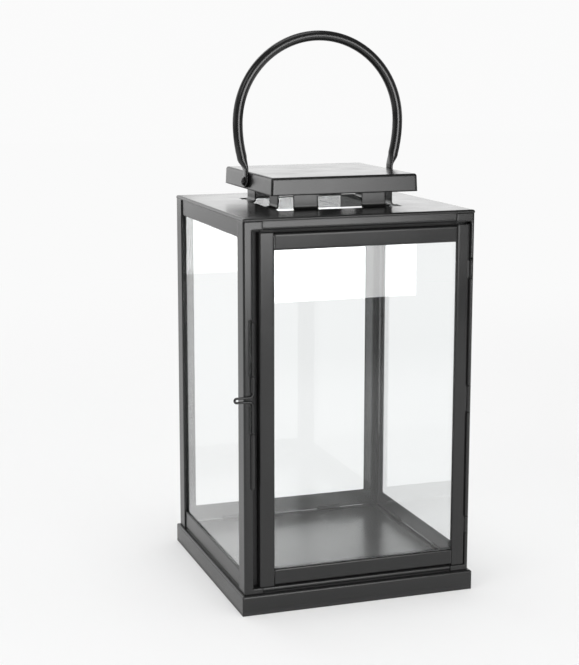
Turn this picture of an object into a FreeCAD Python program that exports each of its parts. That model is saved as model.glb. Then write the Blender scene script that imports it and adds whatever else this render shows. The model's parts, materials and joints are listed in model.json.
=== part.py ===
import FreeCAD, Part
import math
import os
from FreeCAD import Vector

# Candle lantern of folded, black coated sheet steel with four glass panes.
# Frame: origin at the middle of the base's underside, +Z up, door towards -Y.
# All sizes in millimetres.

# ---- sheet metal ----
SHEET = 1.0                 # thickness of every folded sheet
BEND = 0.6                  # inside radius of a fold
FOLD_SHARE = 0.49           # most of a narrow flange that its folds may take
COATING = 0.1               # thickness that the powder coat adds to a face
MITRED = 1                  # corners of a swept bar
SEAT_GAP = 0.3              # play between pieces that move past each other
RUNNING_GAP = 0.05          # radial play of a wire or rivet in its hole

# ---- sides, as turns in degrees from the front ----
RIGHT_TURN = 90
BACK_TURN = 180
LEFT_TURN = 270

# ---- base tray ----
BASE_OVERHANG = 2.5         # base beyond the body on each side
BASE_HEIGHT = 17.0
BASE_HEM = 6.0              # width of the hem folded under the skirt
FLOOR_RISE = 1.6            # floor inside the body above the base's rim
FLOOR_INSET = 1.3           # floor's raised edge inside the body

# ---- body frame ----
BODY_WIDTH = 205.0
BODY_HEIGHT = 317.0         # from the base to the top of the roof
ROOF_SKIRT = 2.5            # turned down edge of the roof
FLANGE = 16.5               # width of each corner post's flange
WINDOW_LIP = 2.4            # posts' inward lip beside each fixed window
SIDE_TOP_RAIL = 14.2        # visible height, below the roof's skirt
SIDE_BOTTOM_RAIL = 15.5
RAIL_LAP = 8.0              # rail's end behind the post's flange

# ---- fixed panes ----
GLASS = 2.0
PANE_CORNER_GAP = 9.5       # pane's edge to the body's corner
PANE_TOP_GAP = 0.4
GLASS_TAB_WIDTH = 23.0
GLASS_TAB_PITCH = 96.0      # between the two tabs of one rail
GLASS_TAB_RISE = 3.0        # height of the tab's end behind the pane

# ---- front frame round the door ----
FRONT_TOP_RAIL = 7.2
FRONT_BOTTOM_RAIL = 3.5
LATCH_JAMB = 8.2            # visible flange on the latch side
HINGE_JAMB = 3.3            # visible flange on the hinge side
STOP_REACH = 7.8            # stop's width behind the door, latch side
STOP_RISE = 6.0             # stop's height behind the door's rails

# ---- door ----
DOOR_DEPTH = 7.4
DOOR_GAP_LATCH = 5.3        # jamb to door, latch side
DOOR_GAP_HINGE = 0.7        # jamb to door, hinge side
DOOR_GAP_TOP = 2.3
DOOR_GAP_BOTTOM = 0.4
LATCH_STILE = 13.3
HINGE_STILE = 11.9
DOOR_RAIL = 13.8
STILE_OVERRUN = 1.0         # stile beyond the door's rails
DOOR_LIP = 3.0              # inward lip round the door's glass
DOOR_GLASS_COVER = 4.5      # how far the glass reaches behind the frame
CLIP_WIDTH = 8.0
CLIP_SHEET = 0.8
CLIP_SETBACK = 1.2          # clip's tip behind the frame's inner edge
CLIP_RISE = 9.0             # side clips above the door's middle

# ---- door hinge ----
HINGE_WIRE = 1.8
HINGE_WALL = 0.65           # thickness of the rolled knuckles
HINGE_FOOT = 28.8           # hinge's lower end above the door's
HINGE_HEADROOM = 31.0       # hinge's upper end below the door's
DOOR_KNUCKLE_END = 15.0     # length of the door's outer knuckles
DOOR_KNUCKLE_MIDDLE = 23.0
KNUCKLE_GAP = 0.4
HINGE_HEAD = 0.8            # height of the pin's upset ends
HINGE_AXIS_INSET = 0.5      # pin's axis inside the jamb's edge

# ---- latch ----
LATCH_WIRE = 2.0
LATCH_WALL = 0.7
LATCH_DROP = 66.5           # lower barrel's foot below the body's middle
LATCH_BARREL_LOW = 47.6
LATCH_NOTCH_LOW = 26.0
LATCH_LOOP_ROOM = 8.4       # from the lower notch to the upper barrel
LATCH_BARREL_HIGH = 13.7
LATCH_NOTCH_HIGH = 45.9
LATCH_LOOP_REACH = 16.6     # loop's tip from the wire's axis
LATCH_LOOP_PITCH = 3.6      # between the loop's two strands
LATCH_ROOT_RADIUS = 3.0
ROOT_STEPS = 2              # straight lengths that make each bend of the wire
NOSE_STEPS = 4
LATCH_LOOP_DROP = 4.0       # loop's upper strand below the upper barrel
LATCH_NOTCH_DEPTH = 2.3
LATCH_AXIS_INSET = 1.0      # wire's axis inside the jamb's edge

# ---- roof vent ----
VENT_WIDTH = 112.0
VENT_TAB_WIDTH = 22.0
VENT_TAB_PITCH = 62.0
VENT_TAB_RADIUS = 6.0
VENT_RELIEF = 2.5           # fold line outside the vent's edge
VENT_SLIT = 1.0

# ---- cap ----
CAP_WIDTH = 131.0
CAP_FLARE = 0.6
CAP_HEIGHT = 15.0
CAP_LIFT = 13.5             # skirt's edge above the roof

# ---- handle ----
HANDLE_TUBE = 8.0
HOOP_RADIUS = 75.0
HOOP_RISE = 50.0            # hoop's centre above the rivets
LOWER_RADIUS = 87.0         # bend of the hoop's two lower ends
LOWER_TURN = 18.7           # degrees turned by each lower end
HOOP_STEPS = 18             # straight lengths that make the bent hoop
LOWER_STEPS = 2
TONGUE_WIDTH = 11.2
TONGUE_SHEET = 2.4          # tube pressed flat
TONGUE_LENGTH = 9.5         # straight tongue above the rivet
RIVET_DROP = 8.0            # rivet below the top of the cap
RIVET_SHANK = 4.0
RIVET_HEAD = 8.0
RIVET_HEAD_HEIGHT = 2.6
RIVET_TAIL = 6.0
RIVET_TAIL_HEIGHT = 1.4

# ---- places that follow from the sizes above ----
HALF = BODY_WIDTH / 2
BASE_HALF = HALF + BASE_OVERHANG
BODY_BOTTOM = BASE_HEIGHT
ROOF_TOP = BODY_BOTTOM + BODY_HEIGHT
POST_TOP = ROOF_TOP - ROOF_SKIRT
RAIL_TOP = ROOF_TOP - SHEET
RAIL_END = HALF - FLANGE + RAIL_LAP
RAIL_FACE = -HALF + SHEET
FLOOR_TOP = BASE_HEIGHT + FLOOR_RISE
CORNER_RADIUS = BEND + SHEET

SIDE_TOP_EDGE = POST_TOP - SIDE_TOP_RAIL
SIDE_BOTTOM_EDGE = FLOOR_TOP + SIDE_BOTTOM_RAIL
PANE_OUTER = HALF - WINDOW_LIP
PANE_INNER = PANE_OUTER - GLASS
PANE_HALF = HALF - PANE_CORNER_GAP
PANE_BOTTOM = FLOOR_TOP + SHEET + BEND
PANE_TOP = RAIL_TOP - SHEET - BEND - PANE_TOP_GAP

OPENING_TOP = POST_TOP - FRONT_TOP_RAIL
OPENING_BOTTOM = FLOOR_TOP + FRONT_BOTTOM_RAIL
LATCH_EDGE = -HALF + LATCH_JAMB
HINGE_EDGE = HALF - HINGE_JAMB

DOOR_LEFT = LATCH_EDGE + DOOR_GAP_LATCH
DOOR_RIGHT = HINGE_EDGE - DOOR_GAP_HINGE
DOOR_TOP = OPENING_TOP - DOOR_GAP_TOP
DOOR_BOTTOM = OPENING_BOTTOM + DOOR_GAP_BOTTOM
DOOR_BACK = -HALF + DOOR_DEPTH
STOP_FACE = DOOR_BACK + SEAT_GAP + 2 * COATING
STOP_LEFT = LATCH_EDGE + STOP_REACH
DOOR_RAIL_TOP = DOOR_TOP - STILE_OVERRUN
DOOR_RAIL_BOTTOM = DOOR_BOTTOM + STILE_OVERRUN
GLASS_LEFT = DOOR_LEFT + LATCH_STILE
GLASS_RIGHT = DOOR_RIGHT - HINGE_STILE
DOOR_GLASS_FRONT = -HALF + DOOR_LIP
DOOR_GLASS_BACK = DOOR_GLASS_FRONT + GLASS

HINGE_BARREL = HINGE_WIRE / 2 + RUNNING_GAP + HINGE_WALL
HINGE_X = HINGE_EDGE + HINGE_AXIS_INSET
HINGE_Y = -HALF + SHEET - HINGE_BARREL
HINGE_BOTTOM = DOOR_BOTTOM + HINGE_FOOT
HINGE_TOP = DOOR_TOP - HINGE_HEADROOM

LATCH_BARREL = LATCH_WIRE / 2 + RUNNING_GAP + LATCH_WALL
LATCH_X = LATCH_EDGE - LATCH_AXIS_INSET
LATCH_Y = -HALF - LATCH_WIRE / 2 - SEAT_GAP - COATING
LATCH_BOTTOM = BODY_BOTTOM + BODY_HEIGHT / 2 - LATCH_DROP
LATCH_LOW_TOP = LATCH_BOTTOM + LATCH_BARREL_LOW
LATCH_HIGH_BOTTOM = LATCH_LOW_TOP + LATCH_NOTCH_LOW + LATCH_LOOP_ROOM
LATCH_HIGH_TOP = LATCH_HIGH_BOTTOM + LATCH_BARREL_HIGH
LATCH_TOP = LATCH_HIGH_TOP + LATCH_NOTCH_HIGH

CAP_TOP = ROOF_TOP + CAP_LIFT + CAP_HEIGHT
CAP_BOTTOM = ROOF_TOP + CAP_LIFT
CAP_HALF = CAP_WIDTH / 2
RIVET_Z = CAP_TOP - RIVET_DROP
TONGUE_INNER = CAP_HALF + CAP_FLARE + SEAT_GAP
TONGUE_OUTER = TONGUE_INNER + TONGUE_SHEET
RIVET_HOLE = RIVET_SHANK / 2 + RUNNING_GAP


# ---- building blocks ----
def block(x0, x1, y0, y1, z0, z1):
    """Box between two corners."""
    return Part.makeBox(x1 - x0, y1 - y0, z1 - z0, Vector(x0, y0, z0))


def rod(radius, x, y, z0, z1):
    """Upright cylinder from z0 to z1."""
    return Part.makeCylinder(radius, z1 - z0, Vector(x, y, z0))


def joined(shapes):
    """Fuse solids into one and merge faces that continue each other."""
    first, *others = shapes
    return first.fuse(others).removeSplitter() if others else first


def turned(shape, degrees):
    """Copy turned about the lantern's upright axis."""
    copy = shape.copy()
    copy.rotate(Vector(0, 0, 0), Vector(0, 0, 1), degrees)
    return copy


def mirrored(shape):
    """Copy mirrored from the left half to the right half."""
    return shape.mirror(Vector(0, 0, 0), Vector(1, 0, 0))


def parallel_path(path, thickness):
    """Path at one sheet's thickness to the right of a path."""
    lines = []
    for (ax, ay), (bx, by) in zip(path, path[1:]):
        length = math.hypot(bx - ax, by - ay)
        ux, uy = (bx - ax) / length, (by - ay) / length
        nx, ny = uy * thickness, -ux * thickness
        lines.append(((ax + nx, ay + ny), (bx + nx, by + ny), (ux, uy)))
    result = [lines[0][0]]
    for (_, end, (ux, uy)), (start, _, (vx, vy)) in zip(lines, lines[1:]):
        cross = ux * vy - uy * vx
        along = ((start[0] - end[0]) * vy - (start[1] - end[1]) * vx) / cross
        result.append((end[0] + ux * along, end[1] + uy * along))
    result.append(lines[-1][1])
    return result


def turn_sign(a, b, c):
    """+1 where the path a, b, c turns left, -1 where it turns right."""
    cross = (b[0] - a[0]) * (c[1] - b[1]) - (b[1] - a[1]) * (c[0] - b[0])
    return math.copysign(1, cross)


def rounded_edges(path, radii, lift):
    """Straight runs joined by tangent arcs, lifted into space."""
    edges = []
    start = path[0]
    for a, b, c, radius in zip(path, path[1:], path[2:], radii):
        back = Vector(a[0] - b[0], a[1] - b[1], 0).normalize()
        ahead = Vector(c[0] - b[0], c[1] - b[1], 0).normalize()
        half_angle = back.getAngle(ahead) / 2
        reach = radius / math.tan(half_angle)
        bisector = (back + ahead).normalize()
        centre = Vector(b[0], b[1], 0) + bisector * (radius / math.sin(half_angle))
        arc_in = Vector(b[0], b[1], 0) + back * reach
        arc_out = Vector(b[0], b[1], 0) + ahead * reach
        arc_mid = centre - bisector * radius
        edges.append(Part.makeLine(lift(start), lift((arc_in.x, arc_in.y))))
        points = [lift((p.x, p.y)) for p in (arc_in, arc_mid, arc_out)]
        edges.append(Part.Arc(*points).toShape())
        start = (arc_out.x, arc_out.y)
    edges.append(Part.makeLine(lift(start), lift(path[-1])))
    return edges


def fold_radii(path, bend):
    """Outside radius of each fold, limited by the runs beside it."""
    runs = [math.dist(a, b) for a, b in zip(path, path[1:])]
    return [
        min(bend + SHEET, FOLD_SHARE * before, FOLD_SHARE * after)
        for before, after in zip(runs, runs[1:])
    ]


def folded_sheet(path, length, lift, direction, bend=BEND):
    """Folded sheet: its right-hand side path, thickened and drawn out straight."""
    other = parallel_path(path, SHEET)
    signs = [turn_sign(a, b, c) for a, b, c in zip(path, path[1:], path[2:])]
    wide = fold_radii(path, bend)
    path_radii = [r if sign < 0 else r - SHEET for r, sign in zip(wide, signs)]
    other_radii = [r - SHEET if sign < 0 else r for r, sign in zip(wide, signs)]
    edges = rounded_edges(path, path_radii, lift)
    edges += rounded_edges(other, other_radii, lift)
    edges.append(Part.makeLine(lift(path[0]), lift(other[0])))
    edges.append(Part.makeLine(lift(path[-1]), lift(other[-1])))
    face = Part.Face(Part.Wire(Part.__sortEdges__(edges)))
    return face.extrude(direction * length)


def upright_sheet(path, z0, z1):
    """Sheet folded along a path seen from above, standing from z0 to z1."""
    return folded_sheet(path, z1 - z0, lambda p: Vector(p[0], p[1], z0), Vector(0, 0, 1))


def level_sheet(path, x0, x1, bend=BEND):
    """Sheet folded along a path of (y, z) points, running from x0 to x1."""
    return folded_sheet(path, x1 - x0, lambda p: Vector(x0, p[0], p[1]), Vector(1, 0, 0), bend)


def square_block(half, z0, z1):
    """Square box centred on the upright axis."""
    return block(-half, half, -half, half, z0, z1)


def folded_edges(body):
    """Body with its top edges rounded as sheet folds are; its corners are seams."""
    top = body.BoundBox.ZMax - BEND
    return body.makeFillet(BEND + SHEET, [e for e in body.Edges if e.BoundBox.ZMin > top])


def arc_points(centre, radius, start, end, steps):
    """Points on an arc in the plane of X and Z, in equal steps of angle."""
    angles = [math.radians(start + (end - start) * i / steps) for i in range(steps + 1)]
    return [centre + Vector(math.cos(a), 0, math.sin(a)) * radius for a in angles]


def bent_round(points, radius):
    """Round bar or tube through points: short straight lengths, mitred at each."""
    path = Part.makePolygon(points)
    section = Part.Wire(Part.Circle(points[0], points[1] - points[0], radius).toShape())
    return path.makePipeShell([section], True, True, MITRED)


# ---- base ----
def base_tray():
    """Shallow tray turned over: skirt, hem and a floor pressed up inside the body."""
    floor_half = HALF - FLOOR_INSET
    rim = folded_edges(square_block(BASE_HALF, 0, BASE_HEIGHT))
    floor = folded_edges(square_block(floor_half, SHEET, FLOOR_TOP))
    under_rim = square_block(BASE_HALF - SHEET, SHEET, BASE_HEIGHT - SHEET)
    under_floor = square_block(floor_half - SHEET, SHEET, FLOOR_TOP - SHEET)
    mouth = square_block(BASE_HALF - BASE_HEM, 0, SHEET)
    return joined([rim, floor]).cut([under_rim, under_floor, mouth])


# ---- corner posts: each is drawn at the front left corner ----
CORNER = (-HALF, -HALF)
PLAIN_FRONT = [(-HALF + FLANGE, -HALF)]
WINDOW_FRONT = [(-HALF + FLANGE, -HALF + WINDOW_LIP), (-HALF + FLANGE, -HALF)]


def side_end(with_lip):
    """Side flange's end, with or without the window's lip."""
    end = [(-HALF, -HALF + FLANGE)]
    if with_lip:
        end.append((-HALF + WINDOW_LIP, -HALF + FLANGE))
    return end


def jamb_front(width, stop):
    """Front flange folded back beside the door, with a stop where asked."""
    edge = -HALF + width
    depth = STOP_FACE if stop else STOP_FACE + SHEET
    path = [(edge, depth), (edge, -HALF)]
    if stop:
        path.insert(0, (edge + STOP_REACH, STOP_FACE))
    return path


def post_in_zones(zones):
    """Post from (front path, side lip, z0, z1) zones, one above the other."""
    pieces = [
        upright_sheet(front + [CORNER] + side_end(lip), z0, z1)
        for front, lip, z0, z1 in zones
    ]
    return joined(pieces)


def plain_post():
    """Rear post: a window on both sides."""
    return post_in_zones([
        (PLAIN_FRONT, False, BODY_BOTTOM, SIDE_BOTTOM_EDGE),
        (WINDOW_FRONT, True, SIDE_BOTTOM_EDGE, SIDE_TOP_EDGE),
        (PLAIN_FRONT, False, SIDE_TOP_EDGE, POST_TOP),
    ])


def door_post(width, stop):
    """Front post: door jamb in front, window at the side."""
    jamb = jamb_front(width, stop)
    return post_in_zones([
        (PLAIN_FRONT, False, BODY_BOTTOM, OPENING_BOTTOM),
        (jamb, False, OPENING_BOTTOM, SIDE_BOTTOM_EDGE),
        (jamb, True, SIDE_BOTTOM_EDGE, SIDE_TOP_EDGE),
        (jamb, False, SIDE_TOP_EDGE, OPENING_TOP),
        (PLAIN_FRONT, False, OPENING_TOP, POST_TOP),
    ])


def latch_notch(z0, z1):
    """Cut in the jamb's edge that leaves the latch wire bare."""
    x0 = LATCH_X - LATCH_NOTCH_DEPTH
    return block(x0, LATCH_EDGE + SHEET, -HALF - SHEET, -HALF + 2 * SHEET, z0, z1)


def latch_barrel(z0, z1, floor):
    """Rolled barrel round the latch wire, its foot crimped shut if asked."""
    barrel = rod(LATCH_BARREL, LATCH_X, LATCH_Y, z0, z1)
    bore = rod(LATCH_WIRE / 2 + RUNNING_GAP, LATCH_X, LATCH_Y, z0 + floor, z1)
    return barrel.cut(bore)


def latch_post():
    """Front left post with the two barrels that hold the latch wire."""
    post = door_post(LATCH_JAMB, True)
    post = post.cut(latch_notch(LATCH_HIGH_TOP, LATCH_TOP))
    post = post.cut(latch_notch(LATCH_LOW_TOP, LATCH_LOW_TOP + LATCH_NOTCH_LOW))
    barrels = [
        latch_barrel(LATCH_BOTTOM, LATCH_LOW_TOP, SHEET),
        latch_barrel(LATCH_HIGH_BOTTOM, LATCH_HIGH_TOP, 0),
    ]
    return joined([post] + barrels)


def door_knuckle_spans():
    """Lower and upper heights of the door's three knuckles."""
    middle = (HINGE_BOTTOM + HINGE_TOP - DOOR_KNUCKLE_MIDDLE) / 2
    return [
        (HINGE_BOTTOM, HINGE_BOTTOM + DOOR_KNUCKLE_END),
        (middle, middle + DOOR_KNUCKLE_MIDDLE),
        (HINGE_TOP - DOOR_KNUCKLE_END, HINGE_TOP),
    ]


def post_knuckle_spans():
    """Heights of the post's two knuckles, between the door's three."""
    spans = door_knuckle_spans()
    return [
        (low[1] + KNUCKLE_GAP, high[0] - KNUCKLE_GAP)
        for low, high in zip(spans, spans[1:])
    ]


def knuckle(z0, z1, leaf_x0, leaf_x1):
    """Rolled knuckle with its leaf, bored for the hinge pin."""
    barrel = rod(HINGE_BARREL, HINGE_X, HINGE_Y, z0, z1)
    leaf = block(leaf_x0, leaf_x1, -HALF, -HALF + SHEET, z0, z1)
    bore = rod(HINGE_WIRE / 2 + RUNNING_GAP, HINGE_X, HINGE_Y, z0, z1)
    return barrel.fuse(leaf).cut(bore)


def knuckle_notches():
    """Heights of the notches that clear the door's knuckles and the pin's heads."""
    spans = door_knuckle_spans()
    head = SEAT_GAP + HINGE_HEAD
    notches = [(low - KNUCKLE_GAP, high + KNUCKLE_GAP) for low, high in spans]
    notches[0] = (notches[0][0] - head, notches[0][1])
    notches[-1] = (notches[-1][0], notches[-1][1] + head)
    return notches


def hinge_post():
    """Front right post with two knuckles and notches for the door's."""
    post = mirrored(door_post(HINGE_JAMB, False))
    room = HINGE_BARREL + KNUCKLE_GAP
    for z0, z1 in knuckle_notches():
        notch_x = (HINGE_X - room, HINGE_X + room)
        post = post.cut(block(*notch_x, HINGE_Y - room, HINGE_Y + room, z0, z1))
    bore = rod(HINGE_WIRE / 2 + RUNNING_GAP, HINGE_X, HINGE_Y, HINGE_BOTTOM, HINGE_TOP)
    knuckles = [
        knuckle(z0, z1, HINGE_X, HINGE_X + HINGE_BARREL)
        for z0, z1 in post_knuckle_spans()
    ]
    return joined([post] + knuckles).cut(bore)


# ---- fixed rails: each is drawn at the front and turned to its side ----
def glass_tabs(edge, rise):
    """Two tabs folded from a rail's edge round the pane's edge."""
    hook = -PANE_INNER + SHEET
    face = edge + rise
    path = [(RAIL_FACE, edge), (hook, edge), (hook, face)]
    if rise > 0:
        path.reverse()
    tabs = []
    for centre in (-GLASS_TAB_PITCH / 2, GLASS_TAB_PITCH / 2):
        x0 = centre - GLASS_TAB_WIDTH / 2
        tabs.append(level_sheet(path, x0, x0 + GLASS_TAB_WIDTH))
    return tabs


def side_rail(z0, z1):
    """Plain strip below or above a fixed window, its ends behind the posts."""
    return block(-RAIL_END, RAIL_END, RAIL_FACE, RAIL_FACE + SHEET, z0, z1)


def side_bottom_rail():
    """Lower rail of a fixed window."""
    rail = side_rail(FLOOR_TOP, SIDE_BOTTOM_EDGE)
    return joined([rail] + glass_tabs(FLOOR_TOP, GLASS_TAB_RISE))


def side_top_rail():
    """Upper rail of a fixed window."""
    rail = side_rail(SIDE_TOP_EDGE, RAIL_TOP)
    return joined([rail] + glass_tabs(RAIL_TOP, -GLASS_TAB_RISE))


def door_head():
    """Front top rail, folded in above the door and down as its stop."""
    shelf = [(STOP_FACE + SHEET, OPENING_TOP), (RAIL_FACE, OPENING_TOP), (RAIL_FACE, RAIL_TOP)]
    stop = [(STOP_FACE, OPENING_TOP - STOP_RISE), (STOP_FACE, OPENING_TOP)]
    corner = level_sheet(shelf, LATCH_EDGE, STOP_LEFT)
    return joined([corner, level_sheet(stop + shelf[1:], STOP_LEFT, HINGE_EDGE)])


def door_sill():
    """Front bottom rail, folded in below the door and up as its stop."""
    shelf = [
        (RAIL_FACE, FLOOR_TOP),
        (RAIL_FACE, OPENING_BOTTOM),
        (STOP_FACE + SHEET, OPENING_BOTTOM),
    ]
    stop = [(STOP_FACE, OPENING_BOTTOM), (STOP_FACE, OPENING_BOTTOM + STOP_RISE)]
    corner = level_sheet(shelf, LATCH_EDGE, STOP_LEFT)
    return joined([corner, level_sheet(shelf[:-1] + stop, STOP_LEFT, HINGE_EDGE)])


def side_pane():
    """Fixed glass pane standing in its rails' tabs."""
    return block(-PANE_HALF, PANE_HALF, -PANE_OUTER, -PANE_INNER, PANE_BOTTOM, PANE_TOP)


# ---- roof ----
def vent_tab():
    """Tab curved up from the vent's front edge to carry the cap."""
    fold = VENT_WIDTH / 2 + VENT_RELIEF
    wall = fold - VENT_TAB_RADIUS - SHEET
    path = [
        (-wall, CAP_TOP - SHEET),
        (-wall, ROOF_TOP - SHEET),
        (-fold - SHEET, ROOF_TOP - SHEET),
    ]
    return level_sheet(path, -VENT_TAB_WIDTH / 2, VENT_TAB_WIDTH / 2, VENT_TAB_RADIUS)


def tab_places():
    """Turn and offset of each of the vent's tabs, two on every side."""
    offsets = (-VENT_TAB_PITCH / 2, VENT_TAB_PITCH / 2)
    turns = (0, RIGHT_TURN, BACK_TURN, LEFT_TURN)
    return [(degrees, offset) for degrees in turns for offset in offsets]


def placed_tab(shape, degrees, offset):
    """Tab or cutter slid along the front edge and turned to its side."""
    copy = shape.copy()
    copy.translate(Vector(offset, 0, 0))
    return turned(copy, degrees)


def roof():
    """Roof sheet with turned down edges and the vent with its tabs."""
    plate = folded_edges(square_block(HALF, POST_TOP, ROOF_TOP))
    under = square_block(HALF - SHEET, POST_TOP - SHEET, ROOF_TOP - SHEET)
    edge = VENT_WIDTH / 2
    vent = square_block(edge, POST_TOP, ROOF_TOP)
    slot_half = VENT_TAB_WIDTH / 2 + VENT_SLIT
    slot = block(-slot_half, slot_half, -edge - VENT_RELIEF, -edge + SHEET, POST_TOP, ROOF_TOP)
    slots = [placed_tab(slot, *place) for place in tab_places()]
    tabs = [placed_tab(vent_tab(), *place) for place in tab_places()]
    return joined([plate.cut(under).cut([vent] + slots)] + tabs)


# ---- cap ----
def tapered_block(top_half, bottom_half, z_bottom, z_top):
    """Square block with flared sides."""
    body = Part.makeWedge(-bottom_half, 0, -bottom_half, -top_half, -top_half,
                          bottom_half, z_top - z_bottom, bottom_half, top_half, top_half)
    body.rotate(Vector(0, 0, 0), Vector(1, 0, 0), 90)
    body.translate(Vector(0, 0, z_bottom))
    return body


def cap():
    """Square cap over the vent, with holes for the handle's rivets."""
    edge = CAP_HALF + CAP_FLARE
    outer = folded_edges(tapered_block(CAP_HALF, edge, CAP_BOTTOM, CAP_TOP))
    inner = tapered_block(CAP_HALF - SHEET, edge - SHEET, CAP_BOTTOM, CAP_TOP - SHEET)
    reach = edge + SHEET
    hole = Part.makeCylinder(RIVET_SHANK / 2, 2 * reach, Vector(-reach, 0, RIVET_Z), Vector(1, 0, 0))
    return outer.cut([inner, hole])


def rivet():
    """Left rivet: domed head outside the handle, tail inside the cap."""
    under_head = TONGUE_OUTER + SEAT_GAP
    inside = CAP_HALF - SHEET
    axis = Vector(-1, 0, 0)
    shank = Part.makeCylinder(RIVET_SHANK / 2, under_head - inside + RIVET_TAIL_HEIGHT,
                              Vector(-inside + RIVET_TAIL_HEIGHT, 0, RIVET_Z), axis)
    tail = Part.makeCylinder(RIVET_TAIL / 2, RIVET_TAIL_HEIGHT,
                             Vector(-inside + RIVET_TAIL_HEIGHT, 0, RIVET_Z), axis)
    head_half = RIVET_HEAD / 2
    ball = (head_half ** 2 + RIVET_HEAD_HEIGHT ** 2) / (2 * RIVET_HEAD_HEIGHT)
    brim = math.degrees(math.asin(1 - RIVET_HEAD_HEIGHT / ball))
    centre = Vector(-under_head - RIVET_HEAD_HEIGHT + ball, 0, RIVET_Z)
    dome = Part.makeSphere(ball, centre, axis, brim, 90, 360)
    return joined([shank, tail, dome])


# ---- handle ----
def tongue_foot():
    """Middle of the right tongue's upper end, where the pressing begins to widen."""
    return Vector((TONGUE_INNER + TONGUE_OUTER) / 2, 0, RIVET_Z + TONGUE_LENGTH)


def hoop_points():
    """Middle of the tube from the right end round the hoop to the left end."""
    hub = Vector(0, 0, RIVET_Z + HOOP_RISE)
    inset = Vector(HOOP_RADIUS - LOWER_RADIUS, 0, 0)
    right = arc_points(hub + inset, LOWER_RADIUS, -LOWER_TURN, 0, LOWER_STEPS)
    hoop = arc_points(hub, HOOP_RADIUS, 0, 180, HOOP_STEPS)
    left = [Vector(-p.x, 0, p.z) for p in reversed(right)]
    return right + hoop[1:-1] + left


def press_jaws(start, foot):
    """The two wedges of space from which the press pushes the tube's end."""
    across = (foot - start).cross(Vector(0, 1, 0)).normalize()
    jaws = []
    for side, blade in ((1, TONGUE_OUTER), (-1, TONGUE_INNER)):
        skin = start + across * (side * HANDLE_TUBE / 2)
        away = Vector(side * HANDLE_TUBE, 0, 0)
        edge = Vector(blade, 0, foot.z)
        outline = Part.makePolygon([skin, edge, edge + away, skin + away, skin])
        jaw = Part.Face(outline).extrude(Vector(0, 2 * TONGUE_WIDTH, 0))
        jaw.translate(Vector(0, -TONGUE_WIDTH, 0))
        jaws.append(jaw)
    return jaws


def tongue():
    """Right end below the press: a flat blade, rounded round its rivet."""
    half = TONGUE_WIDTH / 2
    tip = Part.makeCylinder(half, TONGUE_SHEET, Vector(TONGUE_INNER, 0, RIVET_Z), Vector(1, 0, 0))
    flat = block(TONGUE_INNER, TONGUE_OUTER, -half, half, RIVET_Z, tongue_foot().z)
    return tip.fuse(flat)


def handle():
    """Carrying hoop of bent tube, its two ends widened and pressed flat."""
    points = hoop_points()
    foot = tongue_foot()
    left_foot = Vector(-foot.x, 0, foot.z)
    tube = bent_round([foot] + points + [left_foot], HANDLE_TUBE / 2)
    down = foot - points[0]
    flare = Part.makeCone(HANDLE_TUBE / 2, TONGUE_WIDTH / 2, down.Length, points[0], down)
    jaws = press_jaws(points[0], foot)
    pressed = tube.fuse([flare, mirrored(flare)]).cut(jaws + [mirrored(j) for j in jaws])
    hoop = joined([pressed, tongue(), mirrored(tongue())])
    reach = TONGUE_OUTER + SHEET
    hole = Part.makeCylinder(RIVET_HOLE, 2 * reach, Vector(-reach, 0, RIVET_Z), Vector(1, 0, 0))
    return hoop.cut(hole)


# ---- door ----
def door_stile(edge, inner):
    """Upright of the door from its outer wall to the lip beside the glass."""
    path = [(edge, DOOR_BACK), (edge, -HALF), (inner, -HALF), (inner, -HALF + DOOR_LIP)]
    if edge < inner:
        path.reverse()
    return upright_sheet(path, DOOR_BOTTOM, DOOR_TOP)


def hinge_stile():
    """Right stile with its three hinge knuckles."""
    stile = door_stile(DOOR_RIGHT, GLASS_RIGHT)
    knuckles = [
        knuckle(z0, z1, DOOR_RIGHT - CORNER_RADIUS, HINGE_X)
        for z0, z1 in door_knuckle_spans()
    ]
    return joined([stile] + knuckles)


def door_rail(outer, inner):
    """Level rail of the door between the stiles."""
    path = [
        (DOOR_BACK, outer),
        (-HALF, outer),
        (-HALF, inner),
        (-HALF + DOOR_LIP, inner),
    ]
    if outer < inner:
        path.reverse()
    path.reverse()
    return level_sheet(path, GLASS_LEFT, GLASS_RIGHT)


def door_pane():
    """The door's glass, behind the frame's lips."""
    return block(
        GLASS_LEFT - DOOR_GLASS_COVER, GLASS_RIGHT + DOOR_GLASS_COVER,
        DOOR_GLASS_FRONT, DOOR_GLASS_BACK,
        DOOR_RAIL_BOTTOM + DOOR_RAIL - DOOR_GLASS_COVER,
        DOOR_RAIL_TOP - DOOR_RAIL + DOOR_GLASS_COVER,
    )


def door_clips():
    """Four flat clips that hold the glass from behind."""
    y0, y1 = DOOR_GLASS_BACK, DOOR_GLASS_BACK + CLIP_SHEET
    half = CLIP_WIDTH / 2
    mid_x = (DOOR_LEFT + DOOR_RIGHT) / 2
    mid_z = (DOOR_BOTTOM + DOOR_TOP) / 2 + CLIP_RISE
    left = block(DOOR_LEFT + SHEET, GLASS_LEFT - CLIP_SETBACK, y0, y1, mid_z - half, mid_z + half)
    right = block(GLASS_RIGHT + CLIP_SETBACK, DOOR_RIGHT - SHEET, y0, y1, mid_z - half, mid_z + half)
    low = block(mid_x - half, mid_x + half, y0, y1,
                DOOR_RAIL_BOTTOM + SHEET, DOOR_RAIL_BOTTOM + DOOR_RAIL - CLIP_SETBACK)
    high = block(mid_x - half, mid_x + half, y0, y1,
                 DOOR_RAIL_TOP - DOOR_RAIL + CLIP_SETBACK, DOOR_RAIL_TOP - SHEET)
    return Part.makeCompound([left, right, low, high])


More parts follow.
